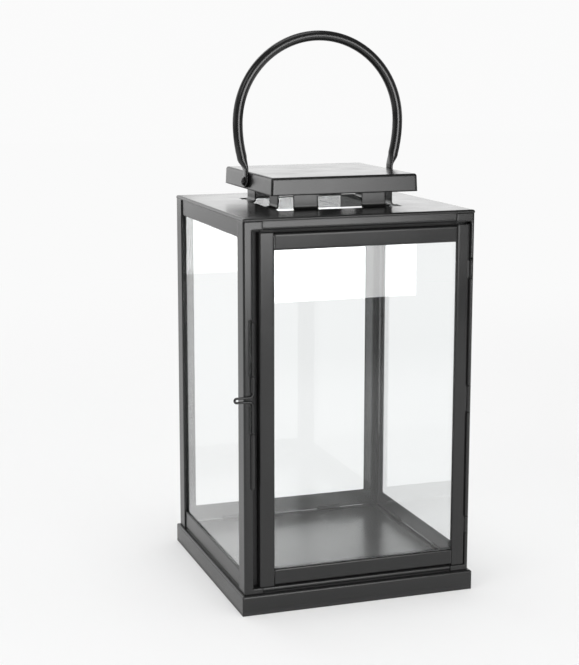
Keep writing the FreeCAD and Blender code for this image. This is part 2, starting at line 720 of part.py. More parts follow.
def hinge_pin():
    """Wire through all knuckles, with upset ends."""
    head = HINGE_BARREL - HINGE_WALL / 2
    wire = rod(HINGE_WIRE / 2, HINGE_X, HINGE_Y, HINGE_BOTTOM - SEAT_GAP, HINGE_TOP + SEAT_GAP)
    foot = rod(head, HINGE_X, HINGE_Y, HINGE_BOTTOM - SEAT_GAP - HINGE_HEAD, HINGE_BOTTOM - SEAT_GAP)
    top = rod(head, HINGE_X, HINGE_Y, HINGE_TOP + SEAT_GAP, HINGE_TOP + SEAT_GAP + HINGE_HEAD)
    return joined([wire, foot, top])


# ---- latch ----
def latch_wire():
    """Wire with a finger loop that turns over the door's edge."""
    z_high = LATCH_HIGH_BOTTOM - LATCH_LOOP_DROP
    z_low = z_high - LATCH_LOOP_PITCH
    nose = LATCH_LOOP_PITCH / 2
    nose_x = LATCH_X - LATCH_LOOP_REACH + LATCH_WIRE / 2 + nose
    root_x = LATCH_X - LATCH_ROOT_RADIUS

    def at(x, z):
        return Vector(x, LATCH_Y, z)

    upper = arc_points(at(root_x, z_high + LATCH_ROOT_RADIUS), LATCH_ROOT_RADIUS, 0, -90, ROOT_STEPS)
    loop = arc_points(at(nose_x, z_low + nose), nose, 90, 270, NOSE_STEPS)
    lower = arc_points(at(root_x, z_low - LATCH_ROOT_RADIUS), LATCH_ROOT_RADIUS, 90, 0, ROOT_STEPS)
    top = at(LATCH_X, LATCH_TOP - SHEET)
    foot = at(LATCH_X, LATCH_BOTTOM + SHEET + SEAT_GAP)
    return bent_round([top] + upper + loop + lower + [foot], LATCH_WIRE / 2)


# ---- the whole lantern ----
def lantern():
    """Every piece by the name of its file."""
    return {
        "base_tray": base_tray(),
        "post_front_left": latch_post(),
        "post_front_right": hinge_post(),
        "post_back_left": turned(plain_post(), LEFT_TURN),
        "post_back_right": turned(plain_post(), BACK_TURN),
        "rail_front_top": door_head(),
        "rail_front_bottom": door_sill(),
        "rail_left_top": turned(side_top_rail(), LEFT_TURN),
        "rail_left_bottom": turned(side_bottom_rail(), LEFT_TURN),
        "rail_back_top": turned(side_top_rail(), BACK_TURN),
        "rail_back_bottom": turned(side_bottom_rail(), BACK_TURN),
        "rail_right_top": turned(side_top_rail(), RIGHT_TURN),
        "rail_right_bottom": turned(side_bottom_rail(), RIGHT_TURN),
        "glass_left": turned(side_pane(), LEFT_TURN),
        "glass_back": turned(side_pane(), BACK_TURN),
        "glass_right": turned(side_pane(), RIGHT_TURN),
        "roof": roof(),
        "cap": cap(),
        "handle_rivets": Part.makeCompound([rivet(), mirrored(rivet())]),
        "handle": handle(),
        "door_stile_left": door_stile(DOOR_LEFT, GLASS_LEFT),
        "door_stile_right": hinge_stile(),
        "door_rail_top": door_rail(DOOR_RAIL_TOP, DOOR_RAIL_TOP - DOOR_RAIL),
        "door_rail_bottom": door_rail(DOOR_RAIL_BOTTOM, DOOR_RAIL_BOTTOM + DOOR_RAIL),
        "door_glass": door_pane(),
        "door_glass_clips": door_clips(),
        "hinge_pin": hinge_pin(),
        "latch_wire": latch_wire(),
    }


def main():
    """Write one STEP file for each piece."""
    os.makedirs("parts", exist_ok=True)
    for name, shape in lantern().items():
        shape.exportStep(os.path.join("parts", name + ".step"))


if __name__ == "__main__":
    main()
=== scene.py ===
"""Looks of a candle lantern: black coated sheet steel, clear panes, studio light."""

import json
import logging
import math
from dataclasses import dataclass
from enum import Enum
from typing import Iterable, Sequence

import bmesh
import bpy
from mathutils import Matrix, Vector


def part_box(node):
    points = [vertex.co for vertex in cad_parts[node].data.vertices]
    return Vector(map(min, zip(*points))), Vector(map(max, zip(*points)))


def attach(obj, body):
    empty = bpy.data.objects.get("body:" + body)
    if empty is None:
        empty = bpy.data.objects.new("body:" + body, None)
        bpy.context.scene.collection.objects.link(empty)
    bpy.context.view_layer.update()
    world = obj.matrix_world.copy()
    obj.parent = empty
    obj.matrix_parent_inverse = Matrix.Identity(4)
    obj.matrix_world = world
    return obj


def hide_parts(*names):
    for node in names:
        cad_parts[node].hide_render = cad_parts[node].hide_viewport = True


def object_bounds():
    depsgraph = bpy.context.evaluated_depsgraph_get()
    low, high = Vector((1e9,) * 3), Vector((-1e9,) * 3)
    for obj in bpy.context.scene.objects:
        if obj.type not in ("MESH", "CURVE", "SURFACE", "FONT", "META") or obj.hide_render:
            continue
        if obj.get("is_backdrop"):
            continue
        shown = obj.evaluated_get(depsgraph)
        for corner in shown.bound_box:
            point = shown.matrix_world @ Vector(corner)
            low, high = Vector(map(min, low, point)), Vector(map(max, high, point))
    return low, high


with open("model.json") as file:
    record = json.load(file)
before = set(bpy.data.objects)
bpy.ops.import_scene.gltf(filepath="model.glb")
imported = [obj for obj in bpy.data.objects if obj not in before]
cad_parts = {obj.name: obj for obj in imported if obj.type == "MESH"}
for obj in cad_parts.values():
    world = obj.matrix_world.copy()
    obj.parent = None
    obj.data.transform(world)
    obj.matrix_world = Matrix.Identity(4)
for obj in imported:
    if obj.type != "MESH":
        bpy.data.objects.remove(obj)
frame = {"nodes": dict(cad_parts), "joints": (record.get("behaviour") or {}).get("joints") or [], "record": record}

LOG = logging.getLogger("lantern")
MM = 0.001
SHARP_DEGREES = 40.0            # two faces that meet at a steeper turn keep a sharp edge
NOISE_LOW, NOISE_HIGH = 0.3, 0.7    # a noise pattern seldom leaves this range

Socket = bpy.types.NodeSocket
Node = bpy.types.Node


class Body(Enum):
    """Bodies that new pieces ride on, by the names that the frame gives them."""

    FRAME = "frame"
    LATCH = "latch"
    HANDLE = "handle"


class Slot(Enum):
    """Material slots of the lantern, by the names that the record gives them."""

    STEEL = "coated_steel"
    GLASS = "glass"


# ---------------------------------------------------------------- places in the frame
def box_mm(node: str) -> tuple[Vector, Vector]:
    """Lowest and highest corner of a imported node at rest, in mm."""
    low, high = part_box(node)
    return low / MM, high / MM


def axis_mm(joint: str) -> Vector:
    """Point that a joint turns about, in mm."""
    return Vector(next(j["pos_m"] for j in frame["joints"] if j["name"] == joint)) / MM


# ---------------------------------------------------------------- colours and nodes
def linear(hex_colour: str) -> tuple[float, float, float, float]:
    """Turn an sRGB hex colour into linear light.

    Args:
        hex_colour: colour such as "#1b1c1e".

    Returns:
        Red, green, blue and an alpha of one.
    """
    parts = [int(hex_colour[i:i + 2], 16) / 255 for i in (1, 3, 5)]
    light = [c / 12.92 if c <= 0.04045 else ((c + 0.055) / 1.055) ** 2.4 for c in parts]
    return (*light, 1.0)


def add_node(tree: bpy.types.NodeTree, kind: str, links: dict[str | int, Socket] | None = None,
             values: dict[str | int, object] | None = None, **settings: object) -> Node:
    """Add one node with its settings, values and links.

    Args:
        tree: node tree that gets the node.
        kind: Blender's type name of the node.
        links: output socket to join to each named input.
        values: value of each named input.
        **settings: properties of the node itself.

    Returns:
        The new node.
    """
    node = tree.nodes.new(kind)
    for name, value in settings.items():
        setattr(node, name, value)
    for name, value in (values or {}).items():
        node.inputs[name].default_value = value
    for name, socket in (links or {}).items():
        tree.links.new(socket, node.inputs[name])
    return node


def new_material(name: str) -> tuple[bpy.types.Material, bpy.types.NodeTree, Node]:
    """Make an empty node material.

    Args:
        name: what the finish is.

    Returns:
        The material, its node tree and its output node.
    """
    material = bpy.data.materials.new(name)
    material.use_nodes = True
    tree = material.node_tree
    tree.nodes.clear()
    return material, tree, add_node(tree, "ShaderNodeOutputMaterial")


def mirrored_only(tree: bpy.types.NodeTree) -> Socket:
    """Socket that is one for a reflection and zero for all that is seen directly or through glass.

    Args:
        tree: node tree that gets the nodes.

    Returns:
        The output socket.
    """
    path = add_node(tree, "ShaderNodeLightPath")
    only = add_node(tree, "ShaderNodeMath", {0: path.outputs["Is Glossy Ray"],
                                             1: path.outputs["Is Transmission Ray"]},
                    operation="SUBTRACT", use_clamp=True)
    return only.outputs["Value"]


# ---------------------------------------------------------------- finishes
@dataclass(frozen=True)
class PowderCoat:
    """Satin black powder coat: dry powder sprayed on steel sheet, then melted in an oven.

    The melt levels to a faint orange peel, which breaks up reflections gently,
    and its gloss drifts a little from one pass of the spray gun to the next.
    The spray reaches narrow gaps poorly and leaves a thin, matt film there, so
    gaps look black. A fold is round and mirrors its whole surroundings in one
    thin line, most of it dark. A folded strip springs back a little after the
    press, so its face leans and mirrors what lies lower.
    """

    name: str = "satin_black_powder_coat"
    colour: str = "#131313"
    colour_thin: str = "#1a1a1a"
    roughness: float = 0.24
    roughness_spread: float = 0.05
    peel_mm: float = 1.6            # from one wave of the orange peel to the next
    peel_height_mm: float = 0.012   # a film of 0.08 mm waves by about a seventh
    peel_strength: float = 0.7
    cloud_mm: float = 45.0          # width of one pass of the spray gun
    gap_mm: float = 7.0             # a closer neighbour keeps the spray away; 0 for none
    gap_closed: float = 0.35        # share of open sky at which the film is matt
    gap_open: float = 0.8           # share of open sky at which it is glossy
    gap_roughness: float = 0.75
    lean: float = 0.0               # degrees that a strip springs back
    fold_mm: float = 2.0            # outer radius of a fold in 1 mm sheet under its film
    samples: int = 8                # looks around each point for gaps and folds

    def material(self) -> bpy.types.Material:
        """Build the coat.

        Returns:
            The material.
        """
        material, tree, output = new_material(self.name)
        place = add_node(tree, "ShaderNodeTexCoord")
        clouds = add_node(tree, "ShaderNodeTexNoise", {"Vector": place.outputs["Object"]},
                          {"Scale": 1 / (self.cloud_mm * MM), "Detail": 3.0, "Roughness": 0.55})
        peel = add_node(tree, "ShaderNodeTexNoise", {"Vector": place.outputs["Object"]},
                        {"Scale": 1 / (self.peel_mm * MM), "Detail": 2.0, "Roughness": 0.5})
        tone = add_node(tree, "ShaderNodeMix", {"Factor": clouds.outputs["Fac"]}, data_type="RGBA")
        tone.inputs[6].default_value = linear(self.colour)
        tone.inputs[7].default_value = linear(self.colour_thin)
        gloss = add_node(tree, "ShaderNodeMapRange", {"Value": clouds.outputs["Fac"]}, {
            "From Min": NOISE_LOW, "From Max": NOISE_HIGH,
            "To Min": self.roughness - self.roughness_spread / 2,
            "To Max": self.roughness + self.roughness_spread / 2,
        })
        if self.gap_mm:
            sky = add_node(tree, "ShaderNodeAmbientOcclusion", values={"Distance": self.gap_mm * MM},
                           samples=self.samples)
            gloss = add_node(tree, "ShaderNodeMapRange", {
                "Value": sky.outputs["AO"], "To Max": gloss.outputs["Result"],
            }, {"From Min": self.gap_closed, "From Max": self.gap_open, "To Min": self.gap_roughness})
        fold = add_node(tree, "ShaderNodeBevel", values={"Radius": self.fold_mm * MM},
                        samples=self.samples)
        sprung = add_node(tree, "ShaderNodeVectorMath", {0: fold.outputs["Normal"]},
                          {1: (0.0, 0.0, -math.tan(math.radians(self.lean)))}, operation="ADD")
        bump = add_node(tree, "ShaderNodeBump", {
            "Height": peel.outputs["Fac"], "Normal": sprung.outputs["Vector"],
        }, {"Strength": self.peel_strength, "Distance": self.peel_height_mm * MM})
        coat = add_node(tree, "ShaderNodeBsdfPrincipled", {
            "Base Color": tone.outputs[2], "Roughness": gloss.outputs["Result"],
            "Normal": bump.outputs["Normal"],
        }, {"IOR": 1.5})
        tree.links.new(coat.outputs["BSDF"], output.inputs["Surface"])
        return material


@dataclass(frozen=True)
class FloatGlass:
    """Clear float glass, cast on molten tin: flat and hardly tinted, a sharp mirror at low angles."""

    name: str = "clear_float_glass"
    colour: str = "#fdfefe"
    shade: str = "#f8faf9"          # tint of the lamp light that passes through
    ior: float = 1.5

    def material(self) -> bpy.types.Material:
        """Build the glass, which lets lamp light through to what it covers.

        Returns:
            The material.
        """
        material, tree, output = new_material(self.name)
        glass = add_node(tree, "ShaderNodeBsdfPrincipled", values={
            "Base Color": linear(self.colour), "Roughness": 0.0,
            "Transmission Weight": 1.0, "IOR": self.ior,
        })
        clear = add_node(tree, "ShaderNodeBsdfTransparent", values={"Color": linear(self.shade)})
        path = add_node(tree, "ShaderNodeLightPath")
        mix = add_node(tree, "ShaderNodeMixShader", {"Fac": path.outputs["Is Shadow Ray"]})
        tree.links.new(glass.outputs["BSDF"], mix.inputs[1])
        tree.links.new(clear.outputs["BSDF"], mix.inputs[2])
        tree.links.new(mix.outputs["Shader"], output.inputs["Surface"])
        return material


@dataclass(frozen=True)
class StudioPaper:
    """Matt white paper, thin enough that light from below makes the shadow on it faint.

    Far off it is as bright as the backdrop. In front and at the sides it ends,
    and reflections show the dark room beyond it.
    """

    name: str = "white_paper"
    colour: str = "#f1f1f1"
    distant: str = "#fafafa"        # as it looks far off
    room: str = "#3c3c3c"           # the dark room beyond its edges
    glow: float = 0.35              # share of its light that comes through from below
    fade_from: float = 0.45         # distances from the lantern in metres
    fade_to: float = 1.7
    edge_from: float = 0.75         # its front edge begins here, for reflections only
    edge_to: float = 1.15
    half_width: float = 1.35        # its edges at the sides begin here

    def material(self) -> bpy.types.Material:
        """Build the paper, plain near the lantern and as bright as the backdrop far off.

        Returns:
            The material.
        """
        material, tree, output = new_material(self.name)
        place = add_node(tree, "ShaderNodeTexCoord")
        away = add_node(tree, "ShaderNodeVectorMath", {0: place.outputs["Object"]}, operation="LENGTH")
        fade = add_node(tree, "ShaderNodeMapRange", {"Value": away.outputs["Value"]},
                        {"From Min": self.fade_from, "From Max": self.fade_to, "To Min": self.glow},
                        interpolation_type="SMOOTHSTEP")
        paper = add_node(tree, "ShaderNodeBsdfDiffuse", values={"Color": linear(self.colour)})
        light = add_node(tree, "ShaderNodeEmission", values={"Color": linear(self.distant)})
        mix = add_node(tree, "ShaderNodeMixShader", {"Fac": fade.outputs["Result"]})
        tree.links.new(paper.outputs["BSDF"], mix.inputs[1])
        tree.links.new(light.outputs["Emission"], mix.inputs[2])
        axes = add_node(tree, "ShaderNodeSeparateXYZ", {"Vector": place.outputs["Object"]})
        across = add_node(tree, "ShaderNodeMath", {0: axes.outputs["X"]}, operation="ABSOLUTE")
        sideways = add_node(tree, "ShaderNodeMath", {0: across.outputs["Value"]},
                            {1: self.edge_from / self.half_width}, operation="MULTIPLY")
        forwards = add_node(tree, "ShaderNodeMath", {0: axes.outputs["Y"]}, {1: -1.0}, operation="MULTIPLY")
        outward = add_node(tree, "ShaderNodeMath", {0: sideways.outputs["Value"],
                                                    1: forwards.outputs["Value"]}, operation="MAXIMUM")
        front = add_node(tree, "ShaderNodeMapRange", {"Value": outward.outputs["Value"]},
                         {"From Min": self.edge_from, "From Max": self.edge_to},
                         interpolation_type="SMOOTHSTEP")
        beyond = add_node(tree, "ShaderNodeMath", {0: front.outputs["Result"],
                                                   1: mirrored_only(tree)}, operation="MULTIPLY")
        room = add_node(tree, "ShaderNodeEmission", values={"Color": linear(self.room)})
        edge = add_node(tree, "ShaderNodeMixShader", {"Fac": beyond.outputs["Value"],
                                                      1: mix.outputs["Shader"], 2: room.outputs["Emission"]})
        tree.links.new(edge.outputs["Shader"], output.inputs["Surface"])
        return material


# ---------------------------------------------------------------- bent and turned metal
@dataclass(frozen=True)
class Station:
    """One place along a bar: its middle, its direction and the section's half sizes in mm."""

    middle: Vector
    along: Vector
    thick: float
    wide: float


def pressed_outline(thick: float, wide: float, count: int) -> list[tuple[float, float]]:
    """Outline of round tube pressed flat: two round edges joined by two flats.

    Args:
        thick: half of the pressed tube's thickness.
        wide: half of its width; as thick for a tube that is still round.
        count: number of points.

    Returns:
        Points across and along the width.
    """
    points = []
    for i in range(count):
        turn = 2 * math.pi * i / count
        side = round(math.sin(turn), 6)
        flat = math.copysign(wide - thick, side) if side else 0.0
        points.append((thick * math.cos(turn), thick * math.sin(turn) + flat))
    return points


def closed_skin(name: str, rings: Sequence[Sequence[Vector]]) -> bpy.types.Object:
    """Join rings of points into one closed, smooth skin with a flat face at each end.

    Args:
        name: name of the new object.
        rings: rings of as many points each, in mm, in order along the piece.

    Returns:
        The new object, in the scene.
    """
    build = bmesh.new()
    loops = [[build.verts.new(point * MM) for point in ring] for ring in rings]
    for near, far in zip(loops, loops[1:]):
        for i in range(len(near)):
            j = (i + 1) % len(near)
            build.faces.new((near[i], near[j], far[j], far[i]))
    build.faces.new(loops[0][::-1])
    build.faces.new(loops[-1])
    bmesh.ops.recalc_face_normals(build, faces=build.faces)
    for face in build.faces:
        face.smooth = True
    mesh = bpy.data.meshes.new(name)
    build.to_mesh(mesh)
    build.free()
    mesh.set_sharp_from_angle(angle=math.radians(SHARP_DEGREES))
    piece = bpy.data.objects.new(name, mesh)
    bpy.context.collection.objects.link(piece)
    return piece


def fit(piece: bpy.types.Object, finish: bpy.types.Material, body: Body, node: str) -> None:
    """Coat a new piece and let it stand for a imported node.

    Args:
        piece: the new piece.
        finish: its coat.
        body: body that carries it.
        node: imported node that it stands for.
    """
    piece.data.materials.append(finish)
    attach(piece, body.value)
    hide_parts(node)
    LOG.info("built %s", piece.name)


def bar_rings(stations: Iterable[Station], count: int) -> list[list[Vector]]:
    """Rings of points round a bar that bends in a plane of even y.

    Args:
        stations: places along the bar.
        count: points in each ring.

    Returns:
        The rings, ready to be joined.
    """
    rings = []
    for station in stations:
        along = station.along.normalized()
        across = Vector((along.z, 0.0, -along.x))
        rings.append([
            station.middle + across * u + Vector((0.0, v, 0.0))
            for u, v in pressed_outline(station.thick, station.wide, count)
        ])
    return rings


def arc(hub: Vector, radius: float, start: float, end: float,
        step: float = 3.0) -> list[tuple[Vector, Vector]]:
    """Points and directions along an arc in a plane of even y.

    Args:
        hub: middle of the arc in mm.
        radius: radius in mm.
        start: first angle in degrees, from +X towards +Z.
        end: last angle in degrees.
        step: largest turn between two points, in degrees.

    Returns:
        A point and the direction of travel for each place.
    """
    count = max(2, math.ceil(abs(end - start) / step) + 1)
    sign = 1.0 if end > start else -1.0
    places = []
    for i in range(count):
        turn = math.radians(start + (end - start) * i / (count - 1))
        ray = Vector((math.cos(turn), 0.0, math.sin(turn)))
        places.append((hub + ray * radius, Vector((-ray.z, 0.0, ray.x)) * sign))
    return places


@dataclass(frozen=True)
class Cap:
    """Square cap over the vent: one sheet, its skirt folded down and joined at the corners."""

    finish: bpy.types.Material
    low: Vector
    high: Vector
    flare: float = 0.6              # the skirt's foot stands out by this much
    sheet: float = 1.0
    fold: float = 2.1               # outer radius between the top and the skirt
    inner_fold: float = 0.5
    corner: float = 1.9             # outer radius of the upright corners
    inner_corner: float = 0.6
    rim: float = 0.3                # level strip beside a fold, so that large faces shade flat
    corner_steps: int = 8

    def build(self) -> None:
        """Form the skirt and the top, inside and outside, as one skin."""
        top, bottom = self.high.z, self.low.z
        ceiling = top - self.sheet
        inner = [
            self.ring(ceiling, self.sheet + self.fold),
            self.ring(ceiling, self.sheet + self.inner_fold),
            self.ring(ceiling - self.inner_fold, self.sheet),
            self.ring(bottom, self.sheet),
        ]
        outer = [self.ring(bottom, 0.0), self.ring(top - self.fold - self.rim, 0.0)]
        for i in range(self.corner_steps + 1):
            turn = math.radians(90 * i / self.corner_steps)
            outer.append(self.ring(top - self.fold + self.fold * math.sin(turn),
                                   self.fold * (1 - math.cos(turn))))
        outer.append(self.ring(top, self.fold + self.rim))
        fit(closed_skin("cap_sheet", inner + outer), self.finish, Body.FRAME, "cap")

    def ring(self, z: float, inset: float) -> list[Vector]:
        """Points round the cap at one height, its corners rounded.

        Args:
            z: height in mm.
            inset: distance inside the skirt's outer face in mm.

        Returns:
            The points, in order round the cap.
        """
        share = (z - self.low.z) / (self.high.z - self.low.z)
        half = self.high.x - self.flare * share - inset
        radius = max(self.corner - inset, self.inner_corner)
        straight = half - radius
        points = []
        for quarter in range(4):
            turn = math.radians(90 * quarter)
            spin = Matrix.Rotation(turn, 3, "Z")
            points.append(spin @ Vector((half, straight - self.rim, z)))
            for i in range(self.corner_steps + 1):
                bend = math.radians(90 * i / self.corner_steps)
                points.append(spin @ Vector((straight + radius * math.cos(bend),
                                             straight + radius * math.sin(bend), z)))
            points.append(spin @ Vector((straight - self.rim, half, z)))
        return points


@dataclass(frozen=True)
class Handle:
    """Carrying hoop: one bent steel tube, both ends pressed flat for the rivets."""

    finish: bpy.types.Material
    rivet_z: float
    cap_half: float                 # half of the cap's width, which the ends straddle
    tube: float = 8.8
    rise: float = 50.0              # from the rivets up to the hoop's widest place
    radius: float = 74.6
    lower_radius: float = 115.0
    lower_turn: float = 14.5        # degrees that each lower end bends inwards
    cap_gap: float = 0.3
    tongue_width: float = 11.2
    tongue_thickness: float = 2.4
    tongue_length: float = 9.5
    tongue_steps: int = 12
    tip_share: float = 0.98         # keeps the tongue's tip from closing to a point
    taper_steps: int = 24
    aim: float = 0.02               # share of the way that gives the bar its direction
    lean_share: float = 1.03        # a leaning bar reaches this much further inwards
    skin_play: float = 0.05         # the taper's inner skin may lie this far inside the tongue's
    sides: int = 40

    @property
    def tongue_x(self) -> float:
        """Middle of the right tongue, just outside the cap's skirt."""
        return self.cap_half + self.cap_gap + self.tongue_thickness / 2

    def build(self) -> None:
        """Sweep the tube from the right tongue round to the left one."""
        right = self.tongue() + self.taper_and_bend()
        left = [self.mirrored(station) for station in reversed(right)]
        hub = Vector((0.0, 0.0, self.rivet_z + self.rise))
        half = self.tube / 2
        hoop = [Station(p, d, half, half) for p, d in arc(hub, self.radius, 0, 180)]
        piece = closed_skin("hoop_handle", bar_rings(right + hoop[1:-1] + left, self.sides))
        fit(piece, self.finish, Body.HANDLE, "handle")

    def tongue(self) -> list[Station]:
        """Half round end of the right tongue, upwards to the rivet.

        Returns:
            The stations.
        """
        thin, broad = self.tongue_thickness / 2, self.tongue_width / 2
        stations = []
        for i in range(1, self.tongue_steps + 1):
            turn = math.radians(90 * i / self.tongue_steps)
            middle = Vector((self.tongue_x, 0.0, self.rivet_z - broad * math.cos(turn)))
            wide = broad * math.sin(turn)
            stations.append(Station(middle, Vector((0.0, 0.0, 1.0)), min(thin, wide * self.tip_share), wide))
        return stations

    def taper_and_bend(self) -> list[Station]:
        """Right end from the tongue, where it is pressed flat, up to the hoop's widest place.

        The skin towards the cap stays outside the skirt, so that the handle
        clears the cap at every angle of its swing.

        Returns:
            The stations.
        """
        thin, broad, half = self.tongue_thickness / 2, self.tongue_width / 2, self.tube / 2
        foot = Vector((self.tongue_x, 0.0, self.rivet_z + self.tongue_length))
        hub = Vector((self.radius - self.lower_radius, 0.0, self.rivet_z + self.rise))
        bend = arc(hub, self.lower_radius, -self.lower_turn, 0)
        start, way = bend[0]
        reach = (start - foot).length / 3
        knots = (foot, foot + Vector((0.0, 0.0, reach)), start - way * reach, start)
        stations = []
        skin = self.tongue_x - thin - self.skin_play
        for i in range(self.taper_steps + 1):
            t = i / self.taper_steps
            middle = self.blend(knots, t)
            ahead = self.blend(knots, min(1.0, t + self.aim)) - self.blend(knots, max(0.0, t - self.aim))
            swell = t * t * (3 - 2 * t)
            thick, wide = thin + (half - thin) * swell, broad + (half - broad) * swell
            middle.x = max(middle.x, skin + self.lean_share * thick)
            stations.append(Station(middle, ahead, thick, wide))
        return stations + [Station(p, d, half, half) for p, d in bend[1:]]

    @staticmethod
    def blend(knots: Sequence[Vector], t: float) -> Vector:
        """Point along a smooth bend.

        Args:
            knots: the bend's four control points.
            t: share of the way, from 0 to 1.

        Returns:
            The point.
        """
        a, b, c, d = knots
        s = 1 - t
        return a * s ** 3 + b * (3 * s * s * t) + c * (3 * s * t * t) + d * t ** 3

    @staticmethod
    def mirrored(station: Station) -> Station:
        """The same place on the left end, passed through downwards."""
        flip = Vector((-1.0, 1.0, 1.0))
        return Station(station.middle * flip, -(station.along * flip), station.thick, station.wide)


@dataclass(frozen=True)
class LatchWire:
    """Turning latch: one bent wire with a narrow finger loop."""

    finish: bpy.types.Material
    axis: Vector
    foot: float
    top: float
    wire: float = 2.0
    strand_rise: float = 2.0        # upper strand above the middle of the latch
    strand_drop: float = 1.6        # lower strand below it
    root_radius: float = 3.0        # bend from the upright wire into each strand
    root_step: float = 10.0         # degrees between two points of the bend
    nose_reach: float = 13.8        # from the upright wire to the middle of the loop's nose
    nose_step: float = 12.0
    trim_share: float = 0.25        # of the wire's radius, filed off round its ends
    sides: int = 20

    def build(self) -> None:
        """Sweep the wire from its top through the loop to its foot."""
        high, low = self.axis.z + self.strand_rise, self.axis.z - self.strand_drop
        root, nose = self.root_radius, (self.strand_rise + self.strand_drop) / 2
        line = arc(self.at(-root, high + root), root, 0, -90, self.root_step)
        line += arc(self.at(-self.nose_reach, low + nose), nose, 90, 270, self.nose_step)
        line += arc(self.at(-root, low - root), root, 90, 0, self.root_step)
        half = self.wire / 2
        loop = [Station(p, d, half, half) for p, d in line]
        stations = self.wire_end(self.top, -1.0) + loop + self.wire_end(self.foot, 1.0)[::-1]
        piece = closed_skin("bent_latch_wire", bar_rings(stations, self.sides))
        fit(piece, self.finish, Body.LATCH, "latch_wire")

    def wire_end(self, z: float, inwards: float) -> list[Station]:
        """Filed end of the wire.

        Args:
            z: height of the end.
            inwards: 1 where the wire runs up from its end, -1 where it runs down.

        Returns:
            The stations, from the end inwards.
        """
        half, down = self.wire / 2, Vector((0.0, 0.0, -1.0))
        trim = self.trim_share * half
        return [Station(self.at(0.0, z), down, half - trim, half - trim),
                Station(self.at(0.0, z + inwards * trim), down, half, half)]

    def at(self, reach: float, z: float) -> Vector:
        """Point on the wire's plane, by its distance from the wire's axis."""
        return Vector((self.axis.x + reach, self.axis.y, z))


@dataclass(frozen=True)
class Rivets:
    """The two rivets that the handle swings on: domed heads outside, upset tails inside."""

    finish: bpy.types.Material
    z: float
    head_end: float
    head_height: float = 2.6
    head_radius: float = 4.0
    head_underside: float = 0.2     # the head's rim is drawn in by this much below
    crown: float = 88.0             # degrees up the dome at which its crown is level
    crown_steps: int = 13
    grip: float = 4.6               # from under the head to the tail
    shank_radius: float = 2.0
    tail_height: float = 1.4
    tail_radius: float = 3.0
    tail_edge: float = 0.35         # the tail's end is rounded in two steps of about this size
    sides: int = 48

    def build(self) -> None:
        """Turn both rivets."""
        for side, name in ((-1, "rivet_left"), (1, "rivet_right")):
            rings = [self.ring(side, x, radius) for x, radius in self.outline()]
            fit(closed_skin(name, rings), self.finish, Body.FRAME, "handle_rivets")

    def outline(self) -> list[tuple[float, float]]:
        """Section of a rivet, from its tail to the crown of its head.

        Returns:
            Distance from the lantern's middle, and radius, of each point.
        """
        head_seat = self.head_end - self.head_height
        tail_seat = head_seat - self.grip
        tail_end = tail_seat - self.tail_height
        edge = self.tail_edge
        points = [(tail_end, self.tail_radius - 2 * edge),
                  (tail_end + 0.6 * edge, self.tail_radius - 0.6 * edge),
                  (tail_end + 1.6 * edge, self.tail_radius),
                  (tail_seat, self.tail_radius), (tail_seat, self.shank_radius),
                  (head_seat, self.shank_radius), (head_seat, self.head_radius - self.head_underside)]
        ball = (self.head_radius ** 2 + self.head_height ** 2) / (2 * self.head_height)
        brim = math.asin(1 - self.head_height / ball)
        for i in range(self.crown_steps + 1):
            turn = brim + (math.radians(self.crown) - brim) * i / self.crown_steps
            points.append((self.head_end - ball + ball * math.sin(turn), ball * math.cos(turn)))
        return points

    def ring(self, side: int, x: float, radius: float) -> list[Vector]:
        """Points round the rivet's axis."""
        turns = [2 * math.pi * i / self.sides for i in range(self.sides)]
        return [Vector((side * x, radius * math.cos(a), self.z + radius * math.sin(a))) for a in turns]


# ---------------------------------------------------------------- the lantern
@dataclass(frozen=True)
class Lantern:
    """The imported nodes, dressed in their finishes, and the bent pieces built anew.

    One coat serves all the steel. The handle, latch and rivets stand free of the
    sheet, so the spray reaches all of them, and it reaches far under the cap. The
    door's strips are folded narrow and spring back, the short rails more than the
    long stiles.
    """

    sheet: PowderCoat = PowderCoat()
    bar: PowderCoat = PowderCoat(name="satin_black_powder_coat_on_bar", gap_mm=0.0)
    door_rail: PowderCoat = PowderCoat(name="satin_black_powder_coat_on_door_rail", lean=3.5)
    door_stile: PowderCoat = PowderCoat(name="satin_black_powder_coat_on_door_stile", lean=1.8)
    cap: PowderCoat = PowderCoat(name="satin_black_powder_coat_on_cap", gap_mm=3.0)
    glass: FloatGlass = FloatGlass()

    def build(self) -> None:
        """Dress the sheet metal and the glass, then add the cap, handle, latch and rivets."""
        bar, rail, stile = self.bar.material(), self.door_rail.material(), self.door_stile.material()
        self.dress({Slot.STEEL: self.sheet.material(), Slot.GLASS: self.glass.material()}, {
            "door_rail_top": rail, "door_rail_bottom": rail,
            "door_stile_left": stile, "door_stile_right": stile,
        })
        cap_low, cap_high = box_mm("cap")
        wire_low, wire_high = box_mm("latch_wire")
        rivet_z = axis_mm("handle_swing").z
        head_end = box_mm("handle_rivets")[1].x
        Cap(self.cap.material(), cap_low, cap_high).build()
        Handle(bar, rivet_z, cap_high.x).build()
        LatchWire(bar, axis_mm("latch_turn"), wire_low.z, wire_high.z).build()
        Rivets(bar, rivet_z, head_end).build()

    @staticmethod
    def dress(finishes: dict[Slot, bpy.types.Material], own: dict[str, bpy.types.Material]) -> None:
        """Give every node its own finish, or else that of its material slot.

        Args:
            finishes: material of each slot.
            own: material of each node that has its own.
        """
        slots = {part["node"]: Slot(part["material_slot"]) for part in frame["record"]["subparts"]}
        for name, node in frame["nodes"].items():
            node.data.materials.clear()
            node.data.materials.append(own.get(name, finishes[slots[name]]))
            LOG.info("dressed %s as %s", name, slots[name].value)


